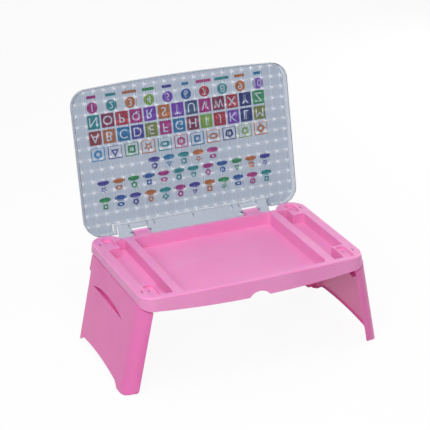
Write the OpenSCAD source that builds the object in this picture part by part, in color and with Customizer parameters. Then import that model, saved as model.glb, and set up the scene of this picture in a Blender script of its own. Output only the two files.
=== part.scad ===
// Folding desk for children, in millimetres, +Z up, with its front towards -Y.
// A moulded tray has a deep middle pocket and a stepped pencil compartment at each end.
// A clear ribbed lid turns on two pins behind the tray, and a splayed panel leg hangs
// from two pins at each end and folds flat under the tray.
// Inside the modules, heights are counted from the top of the tray's rim, and depths
// from the middle of the tray. The last module moves each part to its place.

/* [Tray] */
// Width of the tray over its rim
tray_w = 470; // [440:1:520]
// Depth of the tray from its front corners to the back of its two rear towers
tray_d = 295; // [280:1:330]
// Angle from the middle of the bowed front edge to each of its ends, in degrees
bow_a = 3.2; // [1.7:0.01:4.5]
// Radius of the tray's corners in plan
corner_r = 32; // [28:0.5:36]
// Thickness of the deck and of the outer skirt
tray_wall = 2.4; // [2:0.1:3]
// Radius of the rounded edge round the top of the rim
rim_edge_r = 3; // [2:0.1:4]
// Height of the skirt along the ends of the tray
skirt_h = 17.5; // [16:0.5:20]
// Outward lean of the skirt, as sideways run for each millimetre of height
skirt_lean = 0.115; // [0.06:0.005:0.14]
// Lowest point of the front apron below the rim, beside the finger notch
apron_h = 34.3; // [30:0.1:38]
// Height of the apron where it meets the front corners
apron_end_h = 26.5; // [24:0.1:29]
// Width of the finger notch in the middle of the apron
notch_w = 42; // [30:1:60]
// Height of the finger notch
notch_h = 10.3; // [6:0.1:12]
// How far the middle of the back lies in from the back of the towers
back_step = 24.5; // [20:0.5:28]
// Height of the wall across the middle of the back
back_wall_h = 19; // [17.5:0.5:19.5]

/* [Pocket and pencil compartments] */
// Width of the middle pocket
pocket_w = 301; // [280:1:310]
// Depth of the middle pocket below the rim
pocket_deep = 25; // [20:0.5:27]
// Width of the front rim in front of the pocket
front_rim_w = 9.5; // [8:0.5:14]
// Width of the bar behind the pocket
back_bar_w = 11; // [10:0.5:16]
// Width of the bar between the pocket and each pencil compartment
divider_w = 17.5; // [14:0.5:22]
// Width of the narrow ends of a pencil compartment
pencil_w = 22; // [18:0.5:25]
// Extra width of the middle stretch of a pencil compartment
pencil_step = 25; // [18:0.5:28]
// Length of the wide stretch of a pencil compartment
pencil_wide_l = 166; // [140:1:172]
// Depth of the pencil compartments below the rim
pencil_deep = 21; // [16:0.5:23]
// Thickness of the walls and floors of the pocket and the compartments
box_wall = 2.2; // [1.8:0.1:2.6]

/* [Leg hinges] */
// Distance of a leg's pivot from the middle of the tray
pivot_x = 204; // [202:0.5:206]
// Depth of a leg's pivot below the rim
pivot_drop = 15; // [14:0.25:16]
// Radius of a leg's pivot pin
leg_pin_r = 3; // [2.5:0.1:3.5]
// Running clearance of a leg's pin in its ear, on the radius
leg_pin_play = 0.08; // [0.02:0.01:0.1]
// Thickness of a leg's ear
ear_t = 10; // [8:0.5:12]
// Clear gap beside each ear
ear_gap = 0.5; // [0.3:0.1:1]
// Thickness of the ribs that hold the pins
rib_t = 2.6; // [2:0.1:3.2]
// Distance from the front corners of the tray to the middle of the front ear
front_ear_in = 36.5; // [34:0.5:40]
// Distance from the back of the towers to the middle of the rear ear
rear_ear_in = 36.5; // [34:0.5:40]
// Depth of the shallow recesses over the hinges
recess_deep = 5.5; // [2:0.1:6]

/* [Legs] */
// Height of the desk from the floor to the rim
desk_h = 198; // [180:1:230]
// Outward splay of a standing leg, in degrees
splay = 11.3; // [9:0.1:13]
// Step of a leg's face outside the skirt
leg_proud = 1.5; // [1:0.1:2.5]
// Thickness of a leg's walls
leg_wall = 2.4; // [2:0.1:3]
// Plan radius of a leg's front and rear edges, which is also how deep they turn in
leg_edge_r = 28; // [24:0.5:30]
// Depth of the ledge along the top of a leg
leg_ledge = 14; // [10:0.5:16]
// Depth of that ledge at the two turned edges
corner_ledge = 24; // [20:0.5:24]
// Width of the sole that closes a foot
foot_rim = 15; // [12:0.5:20]
// Radius at the inner lower corner of the turned edges
rim_corner_r = 10; // [6:0.5:14]
// Clear gap between a leg's front edge and the inside of the apron
leg_front_gap = 0.6; // [0.4:0.1:1]
// Distance from the back of the towers to the rear edge of the legs
leg_back_in = 20.5; // [18:0.5:21]
// Gap between the bottom of the skirt and the shoulder of a leg
shoulder_gap = 0.7; // [0.5:0.1:1.2]
// Length of the front foot on the floor
front_foot_l = 42; // [36:1:60]
// Length of the rear foot on the floor
rear_foot_l = 16.5; // [14:0.5:30]
// Height of the arch between a leg's feet
arch_h = 18.5; // [12:0.5:20]
// Radius of the crown of the arch
crown_r = 700; // [500:10:900]
// Place of the highest point of the arch along the desk
crown_y = 15; // [0:1:30]
// Radius of the two ends of the arch
arch_end_r = 90; // [60:5:120]
// Steepness of the arch where it meets the floor, in degrees
arch_end_a = 40; // [30:1:50]
// Depth of the thin bead along the arch
arch_bead = 5; // [4:0.5:8]
// Radius of the front corner of the front foot
front_toe_r = 18; // [12:0.5:22]
// Radius of the rear corner of the rear foot
rear_toe_r = 8; // [6:0.5:12]
// Length of the finger grip in a leg's outer face
grip_l = 157; // [120:1:170]
// Height of the finger grip at its middle
grip_h = 13; // [10:0.5:18]
// Depth of the finger grip
grip_deep = 9; // [6:0.5:12]
// Distance from the rim down to the straight lower edge of the grip
grip_drop = 71; // [60:1:80]

/* [Lid] */
// Width of the lid
lid_w = 469; // [460:1:480]
// Depth of the lid from its hinge axis to the middle of its front edge
lid_d = 303; // [298:1:308]
// Angle from the middle of the lid's bowed edge to each of its ends, in degrees
lid_bow_a = 3.2; // [1.7:0.01:4.5]
// Thickness of the closed lid over the rim
lid_h = 17.5; // [14:0.5:22]
// Radius of the lid's corners in plan
lid_corner_r = 34.6; // [30:0.5:38]
// Thickness of the lid's walls
lid_wall = 2.2; // [1.8:0.1:2.6]
// Thickness of the lid's plate
lid_plate = 1.8; // [1.4:0.1:2.4]
// Radius of the lid's outer edge
lid_edge_r = 4; // [3:0.1:5]
// Spacing of the lid's ribs across its width
rib_pitch_x = 21.5; // [18:0.5:26]
// Spacing of the lid's ribs from back to front
rib_pitch_y = 22.45; // [18:0.05:26]
// Width of the lid's ribs
lid_rib_w = 2; // [1.4:0.1:3]
// Height of the lid's ribs inside the plate
lid_rib_h = 4.5; // [3:0.1:6]
// How far the lid's rear wall is set in between its corners
lid_inset = 16.5; // [14:0.5:18]
// Distance of the hinge axis below the rim
lid_axis_drop = 3.2; // [3:0.1:3.6]
// Gap between the closed lid and the rim
lid_rest_gap = 0.2; // [0.1:0.05:0.4]
// Distance of the hinge axis in from the back of the towers
lid_axis_in = 1.5; // [1:0.1:3]
// Angle through which the lid opens, in degrees
lid_open = 103.1; // [95:0.1:108]
// Radius of the lid's hinge pins
lid_pin_r = 2; // [1.5:0.1:2.2]
// Running clearance of a lid pin in its lug, on the radius
lid_pin_play = 0.08; // [0.02:0.01:0.1]
// Radius of the lugs and knuckles round the hinge axis
knuckle_r = 4.2; // [3.8:0.1:4.4]
// Length of a knuckle on the lid
knuckle_l = 6; // [4:0.5:8]
// Width of a hinge lug on the tray
lug_w = 32; // [24:1:36]
// Distance from the middle of the tray to the middle of a lug
lug_x = 122; // [110:1:126]
// Clear gap beside each lug
lug_gap = 0.6; // [0.4:0.1:1]
// Thickness of the hinge flange along the back of the lid
flange_t = 2; // [1.6:0.1:2.6]
// Length of the flange's tail past the hinge axis, which stops the open lid
flange_tail = 12.5; // [11:0.5:14]
// Thickness of the gussets behind the flange
gusset_t = 2; // [1.6:0.1:2.6]

/* [Hidden] */
$fn = 64;

pink = [0.93, 0.52, 0.75];
clear_grey = [0.72, 0.76, 0.82, 0.6];
steel = [0.75, 0.75, 0.78];
eps = 0.01;
fuller = 0.03;
degrees = 180 / PI;
far = 600;

// Where the tray's outline turns. The front is one large arc, tangent to both corners.
y_back = tray_d / 2 - 2.5;
y_front = y_back - tray_d;
corner_x = tray_w / 2 - corner_r;
bow_r = round(100 * (corner_r + corner_x / sin(bow_a))) / 100;
front_bow = bow_r - sqrt(bow_r * bow_r - corner_x * corner_x);
bow_y = round(100 * (y_front - front_bow + bow_r)) / 100;
corner_y = bow_y - (bow_r - corner_r) * cos(bow_a);
tower_y = y_back - corner_r;
mid_y = y_back - back_step;
tower_a = 180 - asin((mid_y - 0.8 * tray_wall - tower_y) / corner_r);
back_x = corner_x - sqrt(pow(corner_r, 2) - pow(mid_y - tower_y, 2)) + 0.4 * tray_wall;
deck_lap = 8;
deck_in = 5.5;
inner_cove = 1.6;

// Inside faces of the pocket and the compartments
pocket_y0 = y_front + front_rim_w;
pocket_y1 = mid_y - back_bar_w;
pocket_r = 9;
pencil_x0 = pocket_w / 2 + divider_w;
pencil_x1 = pencil_x0 + pencil_w;
pencil_y0 = pocket_y0 + 2.5;
pencil_y1 = pocket_y1 + 1.5;
wide_y0 = (pencil_y0 + pencil_y1 - pencil_wide_l) / 2 + 10.5;
wide_y1 = wide_y0 + pencil_wide_l;
pencil_r = 5;
recess_x0 = pencil_x1 + box_wall;
recess_x1 = recess_x0 + 21;
recess_l = 49;
rear_recess_l = 41;
recess_r = 9;
core_hole_r = 2.5;
slot_l = 11;
slot_w = 3;
slot_x = pivot_x + 17.5;

// Places of the ears, seen from the middle of the tray
ear_ys = [y_front + front_ear_in, y_back - rear_ear_in];
core_hole_shifts = [8.5, 11];
boss_r = leg_pin_r + 2.6;
leg_pin_l = ear_t + 2 * ear_gap + 2 * rib_t + 1;

// The leg's own axes start on its outer face, level with the bottom of the skirt
ref_x = tray_w / 2 + skirt_lean * (skirt_h - rim_edge_r) + leg_proud;
leg_y0 = y_front + tray_wall + leg_front_gap;
leg_y1 = y_back - leg_back_in;
leg_len = (desk_h - skirt_h) / cos(splay);
arch_y0 = leg_y0 + front_foot_l;
arch_y1 = leg_y1 - rear_foot_l;
corner_slope = (apron_end_h - skirt_h) / (corner_y - y_front);

// The hinge axis of the lid, and the lid's outline counted from that axis
axis_y = y_back - lid_axis_in;
axis_z = -lid_axis_drop;
lip_z = lid_axis_drop + lid_rest_gap;
lid_cx = lid_w / 2 - lid_corner_r;
lid_bow_r = round(100 * (lid_corner_r + lid_cx / sin(lid_bow_a))) / 100;
lid_bow_y = lid_bow_r - lid_d;
lid_cy = lid_bow_y - (lid_bow_r - lid_corner_r) * cos(lid_bow_a);
notch_x = lug_x + lug_w / 2 + lug_gap + knuckle_l + 25.2;
rear_wall_y = -lid_inset;
rib_cols = floor((lid_w / 2 - lid_wall) / rib_pitch_x - 0.5);
rib_y0 = rear_wall_y - lid_wall - 2.3;
rib_rows = floor((lid_d - front_bow + rib_y0 - lid_wall) / rib_pitch_y);
knuckle_xs = [lug_x - lug_w / 2 - lug_gap - knuckle_l / 2, lug_x + lug_w / 2 + lug_gap + knuckle_l / 2];
lid_pin_l = lug_w + 2 * lug_gap + 2 * knuckle_l;

// The row's origin is under the middle of the standing, open desk
front_reach = y_front - front_bow - skirt_lean * (apron_h - rim_edge_r);
back_reach = axis_y + (lid_d - lid_edge_r) * cos(180 - lid_open)
    + (lip_z + lid_h - lid_edge_r) * sin(180 - lid_open) + lid_edge_r;
row_y = -(front_reach + back_reach) / 2;

// A profile, drawn as (distance in from the face, height), carried round an arc
module arc_run(centre, r, a0, a1, fn = 64) {
    translate([centre[0], centre[1], 0])
        rotate([0, 0, a0])
            rotate_extrude(angle = a1 - a0, $fn = fn)
                translate([r, 0])
                    mirror([1, 0])
                        children();
}

// The same profile carried along a straight line, with its inner side to the right
module line_run(start, turn, l) {
    translate([start[0], start[1], 0])
        rotate([90, 0, turn])
            linear_extrude(l)
                children();
}

// The front edge of the tray or the lid: a wide arc, and a tight one round the corner.
// A short straight length, a little fuller than the arcs, joins them.
module front_runs(centre_y, r, a, corner) {
    gap = 0.2;
    half = 0.6;
    seam = [corner[0] + corner[2] * sin(a), corner[1] - corner[2] * cos(a)];
    arc_run([0, centre_y], r, -90, -90 + a - gap / r * degrees, 1440)
        children(0);
    arc_run([corner[0], corner[1]], corner[2], 0, -90 + a + gap / corner[2] * degrees)
        children(0);
    line_run([seam[0] - half * cos(a), seam[1] - half * sin(a)], 90 + a, 2 * half)
        children(1);
}

module both_sides() {
    children();
    mirror([1, 0, 0])
        children();
}

module rounded(x0, y0, x1, y1, r) {
    translate([x0 + r, y0])
        square([x1 - x0 - 2 * r, y1 - y0]);
    translate([x0, y0 + r])
        square([x1 - x0, y1 - y0 - 2 * r]);
    for (x = [x0 + r, x1 - r], y = [y0 + r, y1 - r])
        translate([x, y])
            circle(r);
}

// What a round corner takes off a square one. The corner points to +X and +Y.
module corner_off(r) {
    difference() {
        translate([-r, -r])
            square(r + 1);
        translate([-r, -r])
            circle(r);
        translate([-r - 1, -r - 1])
            square([1, r + 2]);
    }
}

// Plan of the tray, drawn in by i all round
module tray_plan(i) {
    bow_x = (bow_r - i) * sin(bow_a);
    intersection() {
        translate([0, bow_y])
            circle(bow_r - i, $fn = 1440);
        translate([-bow_x, y_front - front_bow])
            square([2 * bow_x, tower_y - y_front]);
    }
    for (x = [-corner_x, corner_x]) {
        translate([x, corner_y])
            circle(corner_r - i);
        translate([x, tower_y])
            circle(corner_r - i);
    }
    translate([-tray_w / 2 + i, corner_y])
        square([tray_w - 2 * i, tower_y - corner_y]);
    translate([-corner_x, 0])
        square([2 * corner_x, mid_y - i]);
}

// Section through the rim: rounded edge, leaning skirt of height h and a lap of deck,
// made fuller by g all round
module skirt_profile(h, g = 0) {
    out = skirt_lean * (h - rim_edge_r);
    lap = g > 0 ? deck_lap - 1 : deck_lap;
    cove = tray_wall + inner_cove + g;
    polygon([[rim_edge_r, g], [lap, g], [lap, -tray_wall - g], [cove, -tray_wall - g],
        [tray_wall + g, -cove], [tray_wall + g - out, -h], [-g - out, -h], [-g, -rim_edge_r]]);
    intersection() {
        translate([rim_edge_r, -rim_edge_r])
            circle(rim_edge_r + g);
        translate([-g, -rim_edge_r])
            square(rim_edge_r + g);
    }
}

// Everything under the edge of the front apron. It hangs lowest beside its finger notch
// and rises along a shallow curve to the corners, and then steeply round them.
module under_apron() {
    end_rise = apron_h - apron_end_h;
    steps = 14;
    notch_r = (notch_w * notch_w / 4 + notch_h * notch_h) / (2 * notch_h);
    rotate([90, 0, 0])
        linear_extrude(far, center = true) {
            polygon(concat([for (k = [-steps:steps]) [k / steps * corner_x, end_rise * pow(k / steps, 2) - apron_h]],
                [[corner_x, -2 * apron_h], [-corner_x, -2 * apron_h]]));
            translate([0, notch_h - apron_h - notch_r])
                circle(notch_r);
        }
    both_sides()
        translate([corner_x + corner_r + 20, 0, 0])
            rotate([90, 0, -90])
                linear_extrude(corner_r + 20)
                    polygon([[-corner_y - 0.5, -skirt_h], [-corner_y, -skirt_h], [-y_front, -apron_end_h],
                        [-y_front + 30, -apron_end_h], [-y_front + 30, -2 * apron_h], [-corner_y - 0.5, -2 * apron_h]]);
}

module front_skirt() {
    difference() {
        union() {
            both_sides()
                front_runs(bow_y, bow_r, bow_a, [corner_x, corner_y, corner_r]) {
                    skirt_profile(apron_h + 1);
                    skirt_profile(apron_h + 1, fuller);
                }
        }
        under_apron();
    }
}

module skirt() {
    front_skirt();
    both_sides() {
        line_run([tray_w / 2, corner_y], 180, tower_y - corner_y)
            skirt_profile(skirt_h);
        arc_run([corner_x, tower_y], corner_r, 0, tower_a)
            skirt_profile(skirt_h);
    }
    line_run([back_x, mid_y], -90, 2 * back_x)
        skirt_profile(back_wall_h);
}

module pocket_plan(grow) {
    rounded(-pocket_w / 2 - grow, pocket_y0 - grow, pocket_w / 2 + grow, pocket_y1 + grow, pocket_r + grow);
}

module pencil_plan(grow) {
    rounded(pencil_x0 - grow, pencil_y0 - grow, pencil_x1 + grow, pencil_y1 + grow, pencil_r + grow);
    rounded(pencil_x0 - grow, wide_y0 - grow, pencil_x1 + pencil_step + grow, wide_y1 + grow, pencil_r + grow);
}

module recess_plan(grow) {
    y0 = pencil_y0 - 2;
    y1 = pencil_y1 + 20;
    rounded(recess_x0 - grow, y0 - grow, recess_x1 + grow, y0 + recess_l + grow, recess_r);
    rounded(recess_x0 - grow, y1 - rear_recess_l - grow, recess_x1 + grow, y1 + grow, recess_r);
}

// Two ribs beside each ear, with a boss round the pin
module pin_ribs() {
    rib_x1 = tray_w / 2 - tray_wall + 0.5;
    for (y = ear_ys, side = [-1, 1])
        translate([0, y + side * (ear_t / 2 + ear_gap + rib_t / 2) + rib_t / 2, 0])
            rotate([90, 0, 0])
                linear_extrude(rib_t) {
                    polygon([[recess_x0 - box_wall, -eps - tray_wall / 2], [rib_x1, -eps - tray_wall / 2],
                        [rib_x1, -pivot_drop], [pivot_x + boss_r + 6, -pivot_drop],
                        [pivot_x, -pivot_drop - boss_r], [recess_x0 - box_wall, -pivot_drop - 2]]);
                    translate([pivot_x, -pivot_drop])
                        circle(boss_r);
                }
}

// Short ribs stiffen the deck where no leg passes
module deck_ribs() {
    rib_h = skirt_h - 4;
    wide_x = pencil_x1 + pencil_step + box_wall;
    for (k = [0:3])
        translate([wide_x - eps, wide_y0 + 20 + k * (pencil_wide_l - 40) / 3, -rib_h])
            cube([tray_w / 2 - tray_wall / 2 - wide_x, rib_t, rib_h - tray_wall / 2]);
    for (k = [0:2])
        translate([30 + k * 50, y_front - front_bow + tray_wall, -rib_h])
            cube([rib_t, front_rim_w + front_bow - tray_wall, rib_h - tray_wall / 2]);
    for (k = [0:2])
        translate([20 + k * 60, pocket_y1 + box_wall / 2, -rib_h - 4])
            cube([rib_t, back_bar_w - tray_wall, rib_h + 4 - tray_wall / 2]);
}

// A hollow hinge lug: an arm from the back wall, a barrel round the axis and a heel that
// meets the tail of the open lid's flange
module lug() {
    arm_top = -lid_rest_gap - 0.6;
    arm_low = axis_z - knuckle_r - 0.6;
    root_y = mid_y - tray_wall / 2;
    lug_side = 3;
    difference() {
        union() {
            translate([lug_x + lug_w / 2, 0, 0])
                rotate([90, 0, -90])
                    linear_extrude(lug_w) {
                        translate([-axis_y, axis_z])
                            circle(knuckle_r);
                        polygon([[-axis_y, arm_top], [-root_y, arm_top], [-root_y, -back_wall_h + 6],
                            [-axis_y + 10, arm_low], [-axis_y, axis_z - knuckle_r]]);
                    }
            translate([lug_x - lug_w / 2, axis_y, axis_z])
                rotate([180 - lid_open, 0, 0])
                    translate([0, -flange_tail + 1, lip_z - 0.3 - 3])
                        cube([lug_w, flange_tail - 1, 3]);
        }
        translate([lug_x, axis_y, axis_z])
            rotate([0, 90, 0])
                cylinder(r = lid_pin_r + lid_pin_play, h = lug_w + 4, center = true);
        translate([lug_x - lug_w / 2 + lug_side, mid_y + tray_wall, -back_wall_h])
            cube([lug_w - 2 * lug_side, axis_y - mid_y - knuckle_r - 4, back_wall_h - 3.2]);
    }
}

// The deck with its boxes let in, and the ribs under it
module deck() {
    difference() {
        union() {
            translate([0, 0, -tray_wall])
                linear_extrude(tray_wall)
                    tray_plan(deck_in);
            translate([0, 0, -pocket_deep - box_wall])
                linear_extrude(pocket_deep + box_wall - eps)
                    pocket_plan(box_wall);
            both_sides() {
                translate([0, 0, -pencil_deep - box_wall])
                    linear_extrude(pencil_deep + box_wall - eps)
                        pencil_plan(box_wall);
                translate([0, 0, -recess_deep - box_wall])
                    linear_extrude(recess_deep + box_wall - eps)
                        recess_plan(box_wall);
                pin_ribs();
                deck_ribs();
            }
        }
        translate([0, 0, -pocket_deep])
            linear_extrude(pocket_deep + 1)
                pocket_plan(0);
        both_sides() {
            translate([0, 0, -pencil_deep])
                linear_extrude(pencil_deep + 1)
                    pencil_plan(0);
            translate([0, 0, -recess_deep])
                linear_extrude(recess_deep + 1)
                    recess_plan(0);
            for (k = [0, 1]) {
                translate([pivot_x, ear_ys[k] + core_hole_shifts[k], -recess_deep - box_wall - 1])
                    cylinder(r = core_hole_r, h = box_wall + 2);
                translate([slot_x - slot_w / 2, ear_ys[k] - slot_l / 2, -tray_wall - 1])
                    cube([slot_w, slot_l, tray_wall + 2]);
                translate([pivot_x, ear_ys[k], -pivot_drop])
                    rotate([90, 0, 0])
                        cylinder(r = leg_pin_r, h = leg_pin_l + 4, center = true);
            }
        }
    }
}

module tray() {
    color(pink)
        union() {
            skirt();
            deck();
            both_sides()
                lug();
        }
}

// The arch between a leg's feet: a flat crown cut off by two tighter arcs, grown by i
module arch_plan(i) {
    end_in = arch_end_r * sin(arch_end_a);
    intersection() {
        translate([crown_y, arch_h - crown_r - leg_len])
            circle(crown_r + i, $fn = 720);
        translate([arch_y0 + end_in, -leg_len - arch_end_r * cos(arch_end_a)])
            arch_end(i, 1);
        translate([arch_y1 - end_in, -leg_len - arch_end_r * cos(arch_end_a)])
            arch_end(i, -1);
    }
}

// One end of the arch, open towards the other end
module arch_end(i, side) {
    circle(arch_end_r + i, $fn = 180);
    translate([side > 0 ? 0 : -far / 2, -far / 2])
        square([far / 2, far]);
}

// Side view of a leg, as (place along the desk, height above the shoulder line),
// drawn in by i all round. The floor later trims the outer one.
module leg_side(i) {
    y0 = leg_y0 + i;
    y1 = leg_y1 - i;
    foot_z = i > 0 ? -leg_len + foot_rim * tan(splay) + i : -leg_len;
    low = i > 0 ? foot_z : -leg_len - 8;
    top = -shoulder_gap - i;
    difference() {
        polygon([[y0, low], [y1, low], [y1, top], [corner_y, top],
            [y0, top - corner_slope * (corner_y - y0)]]);
        arch_plan(i);
        translate([y0, foot_z])
            mirror([1, 0])
                mirror([0, 1])
                    corner_off(front_toe_r - i);
        translate([y1, foot_z])
            mirror([0, 1])
                corner_off(rear_toe_r - i);
        translate([y1, top])
            corner_off(4);
    }
}

// Plan of a leg, as (distance out from its face, place along the desk)
module leg_plan(i, depth) {
    r = leg_edge_r - i;
    y0 = leg_y0 + i;
    y1 = leg_y1 - i;
    translate([-depth, y0 + r])
        square([depth - i, y1 - y0 - 2 * r]);
    for (y = [y0 + r, y1 - r])
        translate([-leg_edge_r, y])
            circle(r);
    translate([-depth, y0])
        square([depth - leg_edge_r + 0.5, y1 - y0]);
}

module leg_block(i, depth) {
    intersection() {
        rotate([90, 0, 90])
            translate([0, 0, -depth])
                linear_extrude(depth + 1)
                    leg_side(i);
        translate([0, 0, -leg_len - 10])
            linear_extrude(leg_len + 12)
                leg_plan(i, depth);
    }
}

// Segment of a circle: straight below, arched above
module grip_plan(grow) {
    r = (grip_l * grip_l / 4 + grip_h * grip_h) / (2 * grip_h);
    intersection() {
        translate([0, grip_h - r])
            circle(r + grow, $fn = 180);
        translate([-grip_l, -grow])
            square([2 * grip_l, grip_h + 2 * grow]);
    }
}

module at_grip(depth) {
    translate([-depth, 1.5, -(grip_drop - skirt_h) / cos(splay)])
        rotate([90, 0, 90])
            linear_extrude(depth + 2)
                children();
}

// The moulded panel in its own axes: +X out of its face and +Z up along it
module leg_shell() {
    difference() {
        leg_block(0, leg_edge_r);
        difference() {
            leg_block(leg_wall, leg_edge_r + 5);
            at_grip(grip_deep + leg_wall)
                grip_plan(leg_wall);
        }
        at_grip(grip_deep)
            grip_plan(0);
        // the ledge along the top stays clear of the pencil compartment
        translate([-far - leg_ledge, corner_y, -leg_wall - 6])
            cube([far, leg_y1 - leg_edge_r - corner_y, 12]);
        translate([-far - corner_ledge, pencil_y0 - box_wall - 1, -leg_wall - 12])
            cube([far, pencil_y1 - pencil_y0 + 2 * box_wall + 2, 18]);
        // round the inner lower corners of the turned edges
        translate([-leg_edge_r, far / 2, rim_corner_r / cos(splay) - leg_len
            + (leg_edge_r - rim_corner_r) * tan(splay) - rim_corner_r])
            rotate([90, 0, 0])
                linear_extrude(far)
                    mirror([1, 0])
                        mirror([0, 1])
                            corner_off(rim_corner_r);
        // only a bead follows the arch, and it widens into the soles
        translate([0, 0, -leg_len - 20])
            linear_extrude(arch_h + leg_wall + 24)
                polygon([[-far, leg_y1 - 6], [-foot_rim, leg_y1 - 6], [-foot_rim, arch_y1 + 5],
                    [-arch_bead, arch_y1 - 3], [-arch_bead, arch_y0 + 3], [-foot_rim, arch_y0 - 20],
                    [-foot_rim, leg_y0 + 6], [-foot_rim - 5.5, leg_y0 + 3.7], [-far, leg_y0 + 3.7]]);
    }
}

// Side of an ear: a level arm to the pivot, and a gusset down the inside of the panel
module ear_plan() {
    mid_x = ref_x - leg_wall / 2 / cos(splay);
    low_z = -skirt_h - 34;
    top_z = -pivot_drop + boss_r;
    arm_z = -pivot_drop - boss_r;
    translate([pivot_x, -pivot_drop])
        circle(boss_r);
    polygon([[pivot_x, top_z], [pivot_x + 22, top_z], [pivot_x + 27, top_z - 4.5],
        [mid_x - 6, -skirt_h - shoulder_gap - 1], [mid_x, -skirt_h - shoulder_gap - 3],
        [mid_x - (low_z + skirt_h) * tan(splay), low_z], [pivot_x + 19, arm_z - 5], [pivot_x + 11, arm_z],
        [pivot_x, arm_z]]);
}

module leg() {
    color(pink)
        difference() {
            union() {
                translate([ref_x, 0, -skirt_h])
                    rotate([0, -splay, 0])
                        leg_shell();
                for (y = ear_ys)
                    translate([0, y + ear_t / 2, 0])
                        rotate([90, 0, 0])
                            linear_extrude(ear_t)
                                ear_plan();
            }
            for (y = ear_ys)
                translate([pivot_x, y, -pivot_drop])
                    rotate([90, 0, 0])
                        cylinder(r = leg_pin_r + leg_pin_play, h = ear_t + 2, center = true);
            translate([0, -far / 2, -desk_h - far])
                cube([far, far, far]);
        }
}

module leg_pin(k) {
    color(steel)
        translate([pivot_x, ear_ys[k], -pivot_drop])
            rotate([90, 0, 0])
                cylinder(r = leg_pin_r, h = leg_pin_l, center = true);
}

// Plan of the closed lid, counted from its hinge axis and drawn in by i all round
module lid_plan(i) {
    bow_x = (lid_bow_r - i) * sin(lid_bow_a);
    difference() {
        union() {
            intersection() {
                translate([0, lid_bow_y])
                    circle(lid_bow_r - i, $fn = 1440);
                translate([-bow_x, -lid_d])
                    square([2 * bow_x, lid_d - lid_corner_r]);
            }
            for (x = [-lid_cx, lid_cx]) {
                translate([x, lid_cy])
                    circle(lid_corner_r - i);
                translate([x, -lid_corner_r])
                    circle(lid_corner_r - i);
            }
            translate([-lid_w / 2 + i, lid_cy])
                square([lid_w - 2 * i, -lid_corner_r - lid_cy]);
            translate([-lid_cx, -lid_corner_r - 1])
                square([2 * lid_cx, lid_corner_r + 1 - i]);
        }
        translate([-notch_x - i, rear_wall_y - i])
            square([2 * notch_x + 2 * i, far]);
    }
}

// Quarter round between the lid's wall and its plate, made fuller by g all round. The
// fuller one also reaches a little into the wall and the plate.
module lid_edge_profile(g = 0) {
    intersection() {
        translate([lid_edge_r, lid_h - lid_edge_r])
            difference() {
                circle(lid_edge_r + g);
                circle(lid_edge_r - lid_plate - g);
            }
        translate([-g, lid_h - lid_edge_r])
            square(lid_edge_r + g);
    }
    if (g > 0) {
        reach = 0.5;
        translate([-g, lid_h - lid_edge_r - reach])
            square([lid_plate + 2 * g, reach]);
        translate([lid_edge_r, lid_h - lid_plate - g])
            square([reach, lid_plate + 2 * g]);
    }
}

module lid_edge() {
    both_sides() {
        front_runs(lid_bow_y, lid_bow_r, lid_bow_a, [lid_cx, lid_cy, lid_corner_r]) {
            lid_edge_profile();
            lid_edge_profile(fuller);
        }
        line_run([lid_w / 2, lid_cy], 180, -lid_corner_r - lid_cy)
            lid_edge_profile();
        arc_run([lid_cx, -lid_corner_r], lid_corner_r, 0, 90)
            lid_edge_profile();
        line_run([lid_cx, 0], -90, lid_cx - notch_x)
            lid_edge_profile();
    }
}

module lid_ribs() {
    translate([0, 0, lid_h - lid_plate - lid_rib_h])
        linear_extrude(lid_rib_h + lid_plate / 2)
            intersection() {
                lid_plan(lid_edge_r - 1);
                union() {
                    for (k = [-rib_cols - 1:rib_cols])
                        translate([(k + 0.5) * rib_pitch_x - lid_rib_w / 2, -lid_d])
                            square([lid_rib_w, lid_d]);
                    for (k = [0:rib_rows])
                        translate([-lid_w / 2, rib_y0 - k * rib_pitch_y - lid_rib_w / 2])
                            square([lid_w, lid_rib_w]);
                }
            }
}

// The flange behind the lid carries its knuckles and reaches past the axis
module lid_flange() {
    flange_x = notch_x - 2;
    difference() {
        translate([-flange_x, rear_wall_y - lid_wall, 0])
            cube([2 * flange_x, flange_tail - rear_wall_y + lid_wall, flange_t]);
        both_sides()
            translate([lug_x - lug_w / 2 - lug_gap, -knuckle_r - 2.3, -1])
                cube([lug_w + 2 * lug_gap, 2 * knuckle_r + 3.7, flange_t + 2]);
    }
    for (x = [0, 87, knuckle_xs[0], knuckle_xs[1]])
        both_sides()
            translate([x - gusset_t / 2, 0, 0])
                rotate([90, 0, 90])
                    linear_extrude(gusset_t)
                        polygon([[-knuckle_r, flange_t / 2], [rear_wall_y - lid_wall / 2, flange_t / 2],
                            [rear_wall_y - lid_wall / 2, lid_h - 1], [rear_wall_y + 1, lid_h - 1]]);
    both_sides()
        for (x = knuckle_xs)
            translate([x - knuckle_l / 2, 0, -lip_z])
                rotate([90, 0, 90])
                    linear_extrude(knuckle_l) {
                        circle(knuckle_r);
                        translate([-knuckle_r, 0])
                            square([2 * knuckle_r, lip_z + flange_t / 2]);
                    }
}

// The closed lid, with its hinge axis at the origin
module closed_lid() {
    difference() {
        translate([0, 0, lip_z]) {
            linear_extrude(lid_h - lid_edge_r)
                difference() {
                    lid_plan(0);
                    lid_plan(lid_wall);
                }
            translate([0, 0, lid_h - lid_plate])
                linear_extrude(lid_plate)
                    lid_plan(lid_edge_r);
            lid_edge();
            // the set-in rear wall and its returns run up to the plate
            linear_extrude(lid_h)
                intersection() {
                    difference() {
                        lid_plan(0);
                        lid_plan(lid_wall);
                    }
                    translate([-notch_x - lid_wall - eps, rear_wall_y - lid_wall - eps])
                        square([2 * notch_x + 2 * lid_wall + 2 * eps, -rear_wall_y + lid_wall - lid_edge_r]);
                }
            lid_ribs();
            lid_flange();
        }
        both_sides()
            translate([lug_x, 0, 0])
                rotate([0, 90, 0])
                    cylinder(r = lid_pin_r, h = lid_pin_l + 2, center = true);
    }
}

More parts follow.
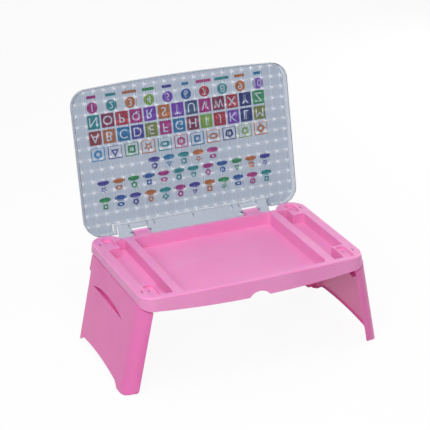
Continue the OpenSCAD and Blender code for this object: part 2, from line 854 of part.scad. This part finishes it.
module lid() {
    color(clear_grey)
        translate([0, axis_y, axis_z])
            rotate([-lid_open, 0, 0])
                closed_lid();
}

module lid_pin() {
    color(steel)
        translate([lug_x, axis_y, axis_z])
            rotate([0, 90, 0])
                cylinder(r = lid_pin_r, h = lid_pin_l, center = true);
}

module left() {
    mirror([1, 0, 0])
        children();
}

module placed() {
    translate([0, row_y, desk_h])
        children();
}

placed() tray();
placed() lid();
placed() left() lid_pin();  // lid_hinge_pin_left
placed() lid_pin();  // lid_hinge_pin_right
placed() left() leg();  // left_leg
placed() leg();  // right_leg
placed() left() leg_pin(0);  // left_front_leg_pin
placed() left() leg_pin(1);  // left_rear_leg_pin
placed() leg_pin(0);  // right_front_leg_pin
placed() leg_pin(1);  // right_rear_leg_pin
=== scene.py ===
import math

import bpy
import numpy as np
from mathutils import Matrix, Vector
from mathutils.geometry import tessellate_polygon


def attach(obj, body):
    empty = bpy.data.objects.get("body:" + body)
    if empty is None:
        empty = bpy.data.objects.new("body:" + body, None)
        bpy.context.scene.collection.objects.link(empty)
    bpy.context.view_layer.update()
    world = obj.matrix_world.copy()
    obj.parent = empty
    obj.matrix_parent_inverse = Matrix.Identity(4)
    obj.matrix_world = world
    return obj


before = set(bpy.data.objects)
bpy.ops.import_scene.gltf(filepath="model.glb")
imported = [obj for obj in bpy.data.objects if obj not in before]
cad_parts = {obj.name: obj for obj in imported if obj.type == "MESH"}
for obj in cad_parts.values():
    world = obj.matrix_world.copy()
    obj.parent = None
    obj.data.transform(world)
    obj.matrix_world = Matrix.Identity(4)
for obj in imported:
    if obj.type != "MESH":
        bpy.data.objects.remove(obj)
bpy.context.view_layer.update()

# Places taken from the CAD source, in metres, and the turn of the open lid in degrees
desk = {"height": 0.198, "shift": -0.036254}
hinge = {"y": 0.1435, "drop": 0.0032, "open": 103.1, "outer": 0.0209}
lidRibs = {"pitchX": 0.0215, "pitchY": 0.02245, "first": -0.021, "lowest": 0.0135}

# From the closed lid's own frame, with the hinge axis at its origin, to the open lid
openLid = (Matrix.Translation((0, hinge["y"] + desk["shift"], desk["height"] - hinge["drop"]))
           @ Matrix.Rotation(math.radians(-hinge["open"]), 4, "X"))


def newMaterial(name):
    material = bpy.data.materials.new(name)
    material.use_nodes = True
    tree = material.node_tree
    tree.nodes.clear()
    output = tree.nodes.new("ShaderNodeOutputMaterial")
    shader = tree.nodes.new("ShaderNodeBsdfPrincipled")
    tree.links.new(shader.outputs["BSDF"], output.inputs["Surface"])
    return material, tree, shader


# A socket takes a number, a colour, or what another node gives
def feed(tree, socket, value):
    if isinstance(value, bpy.types.NodeSocket):
        tree.links.new(value, socket)
    elif isinstance(value, tuple):
        socket.default_value = (*value, 1)
    else:
        socket.default_value = value


def calculate(tree, operation, *values):
    node = tree.nodes.new("ShaderNodeMath")
    node.operation = operation
    for socket, value in zip(node.inputs, values):
        feed(tree, socket, value)
    return node.outputs[0]


def noise(tree, scale, detail):
    coords = tree.nodes.new("ShaderNodeTexCoord")
    node = tree.nodes.new("ShaderNodeTexNoise")
    node.inputs["Scale"].default_value = scale
    node.inputs["Detail"].default_value = detail
    tree.links.new(coords.outputs["Object"], node.inputs["Vector"])
    return node.outputs["Fac"]


# Noise that wanders from low to high, in place of 0 to 1
def wander(tree, scale, detail, low, high):
    node = tree.nodes.new("ShaderNodeMapRange")
    node.inputs["To Min"].default_value = low
    node.inputs["To Max"].default_value = high
    tree.links.new(noise(tree, scale, detail), node.inputs["Value"])
    return node.outputs["Result"]


def mixColours(tree, share, first, second):
    node = tree.nodes.new("ShaderNodeMix")
    node.data_type = "RGBA"
    feed(tree, node.inputs["Factor"], share)
    feed(tree, node.inputs["A"], first)
    feed(tree, node.inputs["B"], second)
    return node.outputs["Result"]


# Layers of relief over each other, each with its noise scale, detail, strength and height in metres
def addRelief(tree, shader, layers):
    normal = None
    for scale, detail, strength, height in layers:
        node = tree.nodes.new("ShaderNodeBump")
        node.inputs["Strength"].default_value = strength
        node.inputs["Distance"].default_value = height
        tree.links.new(noise(tree, scale, detail), node.inputs["Height"])
        if normal is not None:
            tree.links.new(normal, node.inputs["Normal"])
        normal = node.outputs["Normal"]
    tree.links.new(normal, shader.inputs["Normal"])


# Colour mottled between the look's low and high, roughness that wanders, and relief.
# A look's mottle and rough are a noise scale, its detail, and the lowest and highest value it gives.
def addSurface(tree, shader, look):
    feed(tree, shader.inputs["Base Color"],
         mixColours(tree, wander(tree, *look["mottle"]), look["low"], look["high"]))
    feed(tree, shader.inputs["Roughness"], wander(tree, *look["rough"]))
    addRelief(tree, shader, look["relief"])


# Moulded polypropylene: a soft gloss over fine moulded grain, with light scattered inside
pinkLook = {
    "low": (0.82, 0.275, 0.56), "high": (0.88, 0.325, 0.61), "mottle": (9.0, 2.0, -0.2, 1.2),
    "rough": (60.0, 4.0, 0.34, 0.46), "gloss": 0.5,
    "scatter": 0.5, "reach": (1.0, 0.07, 0.42), "depth": 0.005,
    "relief": [(38.0, 1.0, 0.25, 0.0006), (2600.0, 2.0, 0.12, 0.0001)],
}
legLook = {**pinkLook, "low": (0.79, 0.17, 0.475), "high": (0.85, 0.21, 0.52)}


def makePink(name, look):
    material, tree, shader = newMaterial(name)
    addSurface(tree, shader, look)
    shader.inputs["Subsurface Weight"].default_value = look["scatter"]
    shader.inputs["Subsurface Radius"].default_value = look["reach"]
    shader.inputs["Subsurface Scale"].default_value = look["depth"]
    shader.inputs["Specular IOR Level"].default_value = look["gloss"]
    return material


# Frosted clear plastic, a little cool and cloudy: light passes and bends, and scatters in the surface.
# Painted highlights: the colour is lightened towards a pale highlight colour along the ribs, most of all at
# their crossings, and a painted sheen lightens its walls, where the lid catches the light; the flange below
# the ribs is a little paler as well. ribReach is in metres, and the five values after it are shares of the
# painted highlight colour.
clearLook = {
    # The third colour of the first row is the painted highlight colour that ribs and walls are lightened
    # towards
    "low": (0.345, 0.40, 0.485), "high": (0.435, 0.49, 0.58), "edge": (0.78, 0.80, 0.86),
    "mottle": (14.0, 3.0, 0.0, 1.0), "rough": (90.0, 3.0, 0.14, 0.24),
    "clear": 0.93, "bend": 1.2,
    "ribReach": 0.0055, "alongX": 0.18, "alongY": 0.08, "crossingHighlight": 0.9, "walls": 0.5, "flange": 0.25,
    "relief": [(55.0, 1.0, 0.08, 0.0004), (1900.0, 2.0, 0.08, 0.0001)],
}


# 1 on a rib, falling evenly to 0 at the rib's reach: the larger of 1 - distance / reach and 0
def nearRib(tree, distance, reach):
    return calculate(tree, "MAXIMUM", calculate(tree, "SUBTRACT", 1.0,
                     calculate(tree, "DIVIDE", distance, reach)), 0.0)


# Painted highlights on the lid by its ribs: lines and crossings above the ribs' lowest edge, and the paler
# flange's share below it. Across, a rib stands at every odd half pitch. Along, they stand a pitch apart from
# the first.
def ribHighlightsAndPaleFlange(tree, place, look):
    halfX, halfY = lidRibs["pitchX"] / 2, lidRibs["pitchY"] / 2
    fromFirst = calculate(tree, "SUBTRACT", place.outputs["Y"], lidRibs["first"])
    awayX = calculate(tree, "SUBTRACT", halfX, calculate(tree, "PINGPONG", place.outputs["X"], halfX))
    awayY = calculate(tree, "PINGPONG", fromFirst, halfY)
    ribX = nearRib(tree, awayX, look["ribReach"])
    ribY = nearRib(tree, awayY, look["ribReach"])
    lines = calculate(tree, "MAXIMUM", calculate(tree, "MULTIPLY", ribY, look["alongX"]),
                      calculate(tree, "MULTIPLY", ribX, look["alongY"]))
    crossings = calculate(tree, "MULTIPLY", calculate(tree, "MULTIPLY", ribX, ribY), look["crossingHighlight"])
    onPlate = calculate(tree, "GREATER_THAN", place.outputs["Z"], lidRibs["lowest"])
    # Painted highlight on the ribs, strongest at their crossings
    ribs = calculate(tree, "MULTIPLY", calculate(tree, "ADD", lines, crossings), onPlate)
    flange = calculate(tree, "MULTIPLY", calculate(tree, "SUBTRACT", 1.0, onPlate), look["flange"])
    return calculate(tree, "ADD", ribs, flange)


# Painted sheen on a wall: its share times 1 - cos^2, with the angle from the surface's normal to the plate's
def paintedWallSheen(tree, normal, look):
    facing = tree.nodes.new("ShaderNodeVectorMath")
    facing.operation = "DOT_PRODUCT"
    facing.inputs[1].default_value = openLid.to_3x3() @ Vector((0, 0, 1))
    tree.links.new(normal, facing.inputs[0])
    flat = calculate(tree, "POWER", calculate(tree, "ABSOLUTE", facing.outputs["Value"]), 2.0)
    return calculate(tree, "MULTIPLY", calculate(tree, "SUBTRACT", 1.0, flat), look["walls"])


def makeClear(name, look):
    material, tree, shader = newMaterial(name)
    coords = tree.nodes.new("ShaderNodeTexCoord")
    toClosed = openLid.inverted()
    closed = tree.nodes.new("ShaderNodeMapping")
    closed.inputs["Location"].default_value = toClosed.translation
    closed.inputs["Rotation"].default_value = toClosed.to_euler()
    tree.links.new(coords.outputs["Object"], closed.inputs["Vector"])
    place = tree.nodes.new("ShaderNodeSeparateXYZ")
    tree.links.new(closed.outputs["Vector"], place.inputs[0])

    # Painted highlights on ribs and painted sheen on walls, with the paler flange, lighten the cloudy colour
    highlightAndFlangeShare = calculate(tree, "MAXIMUM", ribHighlightsAndPaleFlange(tree, place, look),
                       paintedWallSheen(tree, coords.outputs["Normal"], look))
    cloud = mixColours(tree, wander(tree, *look["mottle"]), look["low"], look["high"])
    feed(tree, shader.inputs["Base Color"],
         mixColours(tree, calculate(tree, "MINIMUM", highlightAndFlangeShare, 1.0), cloud, look["edge"]))
    shader.inputs["Transmission Weight"].default_value = look["clear"]
    shader.inputs["IOR"].default_value = look["bend"]
    feed(tree, shader.inputs["Roughness"], wander(tree, *look["rough"]))
    addRelief(tree, shader, look["relief"])
    return material


steelLook = {
    "low": (0.45, 0.45, 0.47), "high": (0.62, 0.62, 0.64), "mottle": (300.0, 4.0, 0.0, 1.0),
    "rough": (900.0, 3.0, 0.2, 0.38), "relief": [(1400.0, 3.0, 0.15, 0.0001)],
}


def makeSteel(name, look):
    material, tree, shader = newMaterial(name)
    addSurface(tree, shader, look)
    shader.inputs["Metallic"].default_value = 1.0
    return material


# Screen print: a thin coat of ink with small specks of uneven cover
inkLook = {
    "deep": 0.7, "clear": 0.8, "bend": 1.05, "rough": 0.42, "mottle": (420.0, 3.0, -0.1, 1.1),
    "relief": [(1600.0, 2.0, 0.1, 0.0001)],
}


def makeInk(name, colour, look):
    material, tree, shader = newMaterial(name)
    high = tuple(c * c for c in colour)  # a single sheet is tinted by the root of its base colour
    low = tuple(look["deep"] * c for c in high)
    feed(tree, shader.inputs["Base Color"], mixColours(tree, wander(tree, *look["mottle"]), low, high))
    shader.inputs["Transmission Weight"].default_value = look["clear"]
    shader.inputs["IOR"].default_value = look["bend"]
    shader.inputs["Roughness"].default_value = look["rough"]
    addRelief(tree, shader, look["relief"])
    return material


def paint(node, material):
    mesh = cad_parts[node].data
    mesh.materials.clear()
    mesh.materials.append(material)


trayPink = makePink("trayPink", pinkLook)
legPink = makePink("legPink", legLook)
clearPlastic = makeClear("clearPlastic", clearLook)
pinSteel = makeSteel("pinSteel", steelLook)
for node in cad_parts:
    if node == "tray":
        paint(node, trayPink)
    elif node == "lid":
        paint(node, clearPlastic)
    elif node.endswith("_leg"):
        paint(node, legPink)
    else:
        paint(node, pinSteel)
print("materials done")

# The print is laid out on the closed lid, as (x, distance from the hinge) in millimetres
# with its tops towards the hinge, and then lies on the outer face of the lid.
printPlace = {"shift": 0.0025, "gap": 0.00006}
toLid = openLid @ Matrix.Translation((printPlace["shift"], 0, hinge["outer"] + printPlace["gap"]))

inks = {
    "magenta": (0.74, 0.012, 0.33), "teal": (0.005, 0.44, 0.42), "tan": (0.86, 0.26, 0.08),
    "lime": (0.42, 0.68, 0.06), "blue": (0.01, 0.16, 0.54), "azure": (0.01, 0.31, 0.60),
    "red": (0.80, 0.02, 0.05), "green": (0.02, 0.46, 0.10), "orange": (0.92, 0.24, 0.02),
    "violet": (0.34, 0.05, 0.66), "navy": (0.01, 0.03, 0.26), "maroon": (0.42, 0.01, 0.08),
    "brick": (0.56, 0.05, 0.04), "olive": (0.40, 0.42, 0.05), "slate": (0.07, 0.16, 0.32),
    "pink": (0.90, 0.06, 0.32), "indigo": (0.08, 0.05, 0.46), "sky": (0.06, 0.46, 0.88),
    "white": (0.90, 0.92, 0.96),
}
inkMaterials = {name: makeInk("ink" + name.capitalize(), colour, inkLook)
                for name, colour in inks.items()}


# One row per point: (reach cos angle, reach sin angle)
def around(angle, reach):
    return np.stack([reach * np.cos(angle), reach * np.sin(angle)], -1)


# A full turn in n steps: (wide / 2 cos angle, tall / 2 sin angle)
def oval(wide, tall, n=40):
    return around(2 * np.pi * np.arange(n) / n, 1.0) * [wide / 2, tall / 2]


# Four quarter turns of n steps, each about a corner's own middle, which lies at half the size - radius
def roundedBox(wide, tall, radius, n=6):
    corners = np.array([[1, 1], [-1, 1], [-1, -1], [1, -1]]) * (np.array([wide, tall]) / 2 - radius)
    angle = np.radians(90 * np.arange(4)[:, None] + 90 * np.arange(n + 1) / n)
    return (corners[:, None] + around(angle, radius)).reshape(-1, 2)


# Twice as many points as tips at even angles, by turns at the outer and the inner reach
def star(outer, inner, tips, phase=90):
    step = np.arange(2 * tips)
    return around(np.radians(phase + 180 * step / tips), np.where(step % 2 == 0, outer, inner))


# A star whose inner points lie midway on straight sides: inner = outer cos(half turn / sides)
def regular(outer, sides):
    return star(outer, outer * math.cos(math.pi / sides), sides)


def knotPlaces(knots, part):
    values = np.empty(3 * len(knots), np.float32)
    knots.foreach_get(part, values)
    return values.reshape(-1, 1, 3)[..., :2].astype(float)


# The outlines of a letter or number, height tall and at most widest across. From knot a to knot b, with u
# for 1 - t, a curve is u^3 a + 3 u^2 t a's handle + 3 u t^2 b's handle + t^3 b, taken at every quarter of t.
# A straight side, whose handles lie on its knots but for a hundred-thousandth, gives its first point alone.
def glyphContours(characters, height, widest):
    curve = bpy.data.curves.new("glyph", "FONT")
    curve.body = characters
    glyph = bpy.data.objects.new("glyph", curve)
    bpy.context.scene.collection.objects.link(glyph)
    graph = bpy.context.evaluated_depsgraph_get()
    shape = glyph.evaluated_get(graph)
    t = np.arange(4)[:, None] / 4
    u = 1 - t
    contours = []
    for spline in shape.to_curve(graph).splines:
        a = knotPlaces(spline.bezier_points, "co")
        aHandle = knotPlaces(spline.bezier_points, "handle_right")
        b = np.roll(a, -1, 0)
        bHandle = np.roll(knotPlaces(spline.bezier_points, "handle_left"), -1, 0)
        points = u ** 3 * a + 3 * u * u * t * aHandle + 3 * u * t * t * bHandle + t ** 3 * b
        straight = np.linalg.norm(a - aHandle, axis=2) + np.linalg.norm(b - bHandle, axis=2) < 1e-5
        contours.append(points[~straight | (t[:, 0] == 0)])
    shape.to_curve_clear()
    bpy.data.objects.remove(glyph)
    bpy.data.curves.remove(curve)
    every = np.concatenate(contours)
    low, high = every.min(0), every.max(0)
    scaleY = height / (high[1] - low[1])
    scaleX = min(scaleY, widest / (high[0] - low[0]))
    return [(contour - (low + high) / 2) * [scaleX, scaleY] for contour in contours]


# (x, y) rows given a z of 0. The tessellation needs it, as it misreads rows of two.
def lying(points):
    return np.pad(points, ((0, 0), (0, 1))).tolist()


# Flat shapes gathered into one mesh, each with its own ink. An outline is an array with a row per point.
class Sheet:
    def __init__(self):
        self.outlines, self.faces, self.inks = [], [], []

    def add(self, outlines, faces, ink):
        start = sum(map(len, self.outlines))
        self.outlines += outlines
        self.faces += (start + np.array(faces)).tolist()
        self.inks += [ink] * len(faces)

    def polygon(self, outline, ink):
        self.add([outline], [np.arange(len(outline))], ink)

    # Side i of the ring joins points i and i + 1 of the outer outline with the same two of the inner one
    def ring(self, outer, inner, ink):
        n = len(outer)
        here = np.arange(n)
        after = (here + 1) % n
        self.add([outer, inner], np.stack([here, after, n + after, n + here], 1), ink)

    # The outline with the contours cut out of it
    def punched(self, outline, contours, ink):
        outlines = [outline, *contours]
        self.add(outlines, tessellate_polygon([lying(loop) for loop in outlines]), ink)

    def place(self, name):
        mesh = bpy.data.meshes.new(name)
        mesh.from_pydata(lying(np.concatenate(self.outlines) / 1000), [], self.faces)
        used = sorted(set(self.inks))
        for ink in used:
            mesh.materials.append(inkMaterials[ink])
        mesh.polygons.foreach_set("material_index", [used.index(ink) for ink in self.inks])
        mesh.transform(toLid)
        mesh.update()
        piece = bpy.data.objects.new(name, mesh)
        bpy.context.scene.collection.objects.link(piece)
        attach(piece, "lid")


# The middles of a row's marks, from the first to the last, at one distance from the hinge
def rowOf(first, last, count, distance):
    return np.stack([np.linspace(first, last, count), np.full(count, -distance)], 1)


numberRow = {
    "first": -191.0, "last": 172.0, "row": 257.8, "across": 22.5, "digit": 14.5, "widest": 15.0,
    "barRow": 279.0, "bars": [19.5, 21.0, 30.0, 25.5, 21.0, 15.0, 33.0, 33.0, 22.5, 16.5],
    "barTall": 6.0, "barCorner": 1.8,
    "inks": ["magenta", "teal", "orange", "lime", "violet", "blue", "red", "teal", "orange", "violet"],
    "barInks": ["magenta", "teal", "tan", "green", "indigo", "azure", "pink", "teal", "orange", "azure"],
}
numbers = Sheet()
count = len(numberRow["bars"])
disc = oval(numberRow["across"], numberRow["across"], 48)
discPlaces = rowOf(numberRow["first"], numberRow["last"], count, numberRow["row"])
barPlaces = rowOf(numberRow["first"], numberRow["last"], count, numberRow["barRow"])
for i in range(count):
    digits = glyphContours(str(i + 1), numberRow["digit"], numberRow["widest"])
    bar = roundedBox(numberRow["bars"][i], numberRow["barTall"], numberRow["barCorner"])
    numbers.punched(disc + discPlaces[i], [loop + discPlaces[i] for loop in digits], numberRow["inks"][i])
    numbers.polygon(bar + barPlaces[i], numberRow["barInks"][i])
numbers.place("numberPrint")

letterRows = {
    "first": -191.5, "last": 170.5, "wide": 26.5, "tall": 28.0, "corner": 1.6, "letter": 18.5,
    "widest": 20.5,
    "rows": [
        (196.6, "ABCDEFGHIJKLM", ["brick", "tan", "azure", "indigo", "olive", "magenta", "azure",
                                  "maroon", "lime", "red", "violet", "navy", "olive"]),
        (229.0, "NOPQRSTUVWXYZ", ["teal", "maroon", "red", "magenta", "violet", "orange", "violet",
                                  "slate", "magenta", "maroon", "red", "navy", "green"]),
    ],
}
letters = Sheet()
tile = roundedBox(letterRows["wide"], letterRows["tall"], letterRows["corner"])
for distance, row, colours in letterRows["rows"]:
    tilePlaces = rowOf(letterRows["first"], letterRows["last"], len(row), distance)
    for character, ink, centre in zip(row, colours, tilePlaces):
        letter = glyphContours(character, letterRows["letter"], letterRows["widest"])
        letters.punched(tile + centre, [loop + centre for loop in letter], ink)
letters.place("letterPrint")

# Simple signs about their own middle, in millimetres
signs = [oval(14, 14), regular(8, 3), roundedBox(13, 13, 1.5), star(8.5, 3.6, 5), roundedBox(17, 9, 4.4),
         regular(8, 6), star(8.2, 5.8, 4, 45), oval(17, 10), regular(8, 5), star(8.5, 5.2, 8),
         regular(8.6, 4)]

frameRow = {
    "first": -189.0, "last": 170.0, "row": 163.7, "wide": 30.0, "tall": 27.0, "line": 2.0,
    "corner": 1.5, "innerCorner": 0.6, "sign": 1.25, "hole": 0.46,
    "inks": ["sky", "indigo", "green", "orange", "teal", "pink", "azure", "tan", "navy", "lime", "orange"],
}
shapes = Sheet()
outer = roundedBox(frameRow["wide"], frameRow["tall"], frameRow["corner"])
inner = roundedBox(frameRow["wide"] - 2 * frameRow["line"], frameRow["tall"] - 2 * frameRow["line"],
                   frameRow["innerCorner"])
framePlaces = rowOf(frameRow["first"], frameRow["last"], len(signs), frameRow["row"])
for sign, ink, centre in zip(signs, frameRow["inks"], framePlaces):
    sign = frameRow["sign"] * sign
    shapes.ring(outer + centre, inner + centre, ink)
    shapes.ring(sign + centre, frameRow["hole"] * sign + centre, ink)
shapes.place("shapePrint")

# Each row has its first and last x, its distance from the hinge and its inks
labelRows = {
    "wide": 25.0, "tall": 10.5, "card": 16.5, "corner": 1.2, "cardLine": 0.9, "drop": 13.5,
    "sign": 0.9, "hole": 0.42,
    "rows": [
        (-72.0, 57.0, 136.0, ["indigo", "azure", "teal", "orange", "magenta"]),
        (-185.0, 173.5, 105.0, ["indigo", "orange", "green", "blue", "magenta", "teal", "teal",
                                "magenta", "blue", "green", "orange", "indigo"]),
        (-185.0, 173.5, 70.0, ["green", "blue", "indigo", "orange", "teal", "magenta", "indigo",
                               "orange", "green", "blue", "magenta", "teal"]),
    ],
}
labels = Sheet()
plate = oval(labelRows["wide"], labelRows["tall"], 32)
card = roundedBox(labelRows["card"], labelRows["card"], labelRows["corner"])
for row, (first, last, distance, colours) in enumerate(labelRows["rows"]):
    for i, (ink, centre) in enumerate(zip(colours, rowOf(first, last, len(colours), distance))):
        sign = labelRows["sign"] * signs[(i + 3 * row) % len(signs)]
        below = centre + [0, labelRows["drop"]]
        labels.polygon(plate + centre, ink)
        labels.ring(card + below, labelRows["cardLine"] * card + below, "white")
        labels.ring(sign + below, labelRows["hole"] * sign + below, ink)
labels.place("labelPrint")
print("print done")

# A plain pale floor that keeps the desk's shadow, and soft studio light
stageLook = {"reach": 40.0, "grey": 0.6, "glow": 1.05, "glowShare": 0.88, "dim": 0.34, "bright": 1.0,
             "softbox": (1.2, 1.0)}


# What the camera, a reflection or a look through the clear plastic finds is white, to the given share,
# and the rest of the light finds the plain surface.
def seenWhite(tree, plain, white, share):
    path = tree.nodes.new("ShaderNodeLightPath")
    mix = tree.nodes.new("ShaderNodeMixShader")
    seen = path.outputs["Is Camera Ray"]
    for ray in ("Is Glossy Ray", "Is Transmission Ray"):
        seen = calculate(tree, "MAXIMUM", seen, path.outputs[ray])
    tree.links.new(calculate(tree, "MULTIPLY", seen, share), mix.inputs["Fac"])
    tree.links.new(plain.outputs[0], mix.inputs[1])
    tree.links.new(white.outputs[0], mix.inputs[2])
    return mix.outputs[0]


def background(tree, strength):
    sky = tree.nodes.new("ShaderNodeBackground")
    sky.inputs["Color"].default_value = (1, 1, 1, 1)
    sky.inputs["Strength"].default_value = strength
    return sky


reach = stageLook["reach"]
floorMesh = bpy.data.meshes.new("floor")
floorMesh.from_pydata([(-reach, -reach, 0), (reach, -reach, 0), (reach, reach, 0), (-reach, reach, 0)],
                      [], [(0, 1, 2, 3)])
floor = bpy.data.objects.new("floor", floorMesh)
bpy.context.scene.collection.objects.link(floor)
floorMaterial = bpy.data.materials.new("floorWhite")
floorMaterial.use_nodes = True
tree = floorMaterial.node_tree
tree.nodes.clear()
output = tree.nodes.new("ShaderNodeOutputMaterial")
diffuse = tree.nodes.new("ShaderNodeBsdfDiffuse")
diffuse.inputs["Color"].default_value = (*[stageLook["grey"]] * 3, 1)
glow = tree.nodes.new("ShaderNodeEmission")
glow.inputs["Strength"].default_value = stageLook["glow"]
tree.links.new(seenWhite(tree, diffuse, glow, stageLook["glowShare"]), output.inputs["Surface"])
floorMesh.materials.append(floorMaterial)

world = bpy.data.worlds.new("studio")
bpy.context.scene.world = world
world.use_nodes = True
tree = world.node_tree
tree.nodes.clear()
output = tree.nodes.new("ShaderNodeOutputWorld")
dim = background(tree, stageLook["dim"])
bright = background(tree, stageLook["bright"])
tree.links.new(seenWhite(tree, dim, bright, 1.0), output.inputs["Surface"])

# Each lamp's place, the place it points at, and its power in watts
softboxes = {
    "topSoftbox": ((-0.3, -0.5, 1.9), (0, 0, 0.15), 15),
    "leftSoftbox": ((-1.5, -1.9, 1.5), (0, 0, 0.15), 29),
    "rightSoftbox": ((1.9, 0.9, 0.5), (0, 0, 0.12), 23),
}
for name, (place, target, power) in softboxes.items():
    data = bpy.data.lights.new(name, "AREA")
    data.shape = "RECTANGLE"
    data.size, data.size_y = stageLook["softbox"]
    data.energy = power
    lamp = bpy.data.objects.new(name, data)
    lamp.location = place
    lamp.rotation_euler = (Vector(target) - Vector(place)).to_track_quat("-Z", "Y").to_euler()
    bpy.context.scene.collection.objects.link(lamp)

# The photograph's camera, solved from the desk's own corners, with its place measured from the middle of
# the rim. It looks along (sin yaw cos down, cos yaw cos down, -sin down).
view = {"place": (-1.1063, -2.4039, 1.2574), "yaw": 24.274, "down": 24.206, "lens": 124.86,
        "sensor": 36.0, "nearest": 0.05}
cameraData = bpy.data.cameras.new("camera")
cameraData.lens = view["lens"]
cameraData.sensor_width = view["sensor"]
cameraData.clip_start = view["nearest"]
camera = bpy.data.objects.new("camera", cameraData)
camera.location = Vector(view["place"]) + Vector((0, desk["shift"], desk["height"]))
yaw, down = math.radians(view["yaw"]), math.radians(view["down"])
ahead = Vector((math.sin(yaw) * math.cos(down), math.cos(yaw) * math.cos(down), -math.sin(down)))
camera.rotation_euler = ahead.to_track_quat("-Z", "Y").to_euler()
bpy.context.scene.collection.objects.link(camera)
bpy.context.scene.camera = camera
bpy.context.scene.view_settings.view_transform = "Standard"
print("stage done")
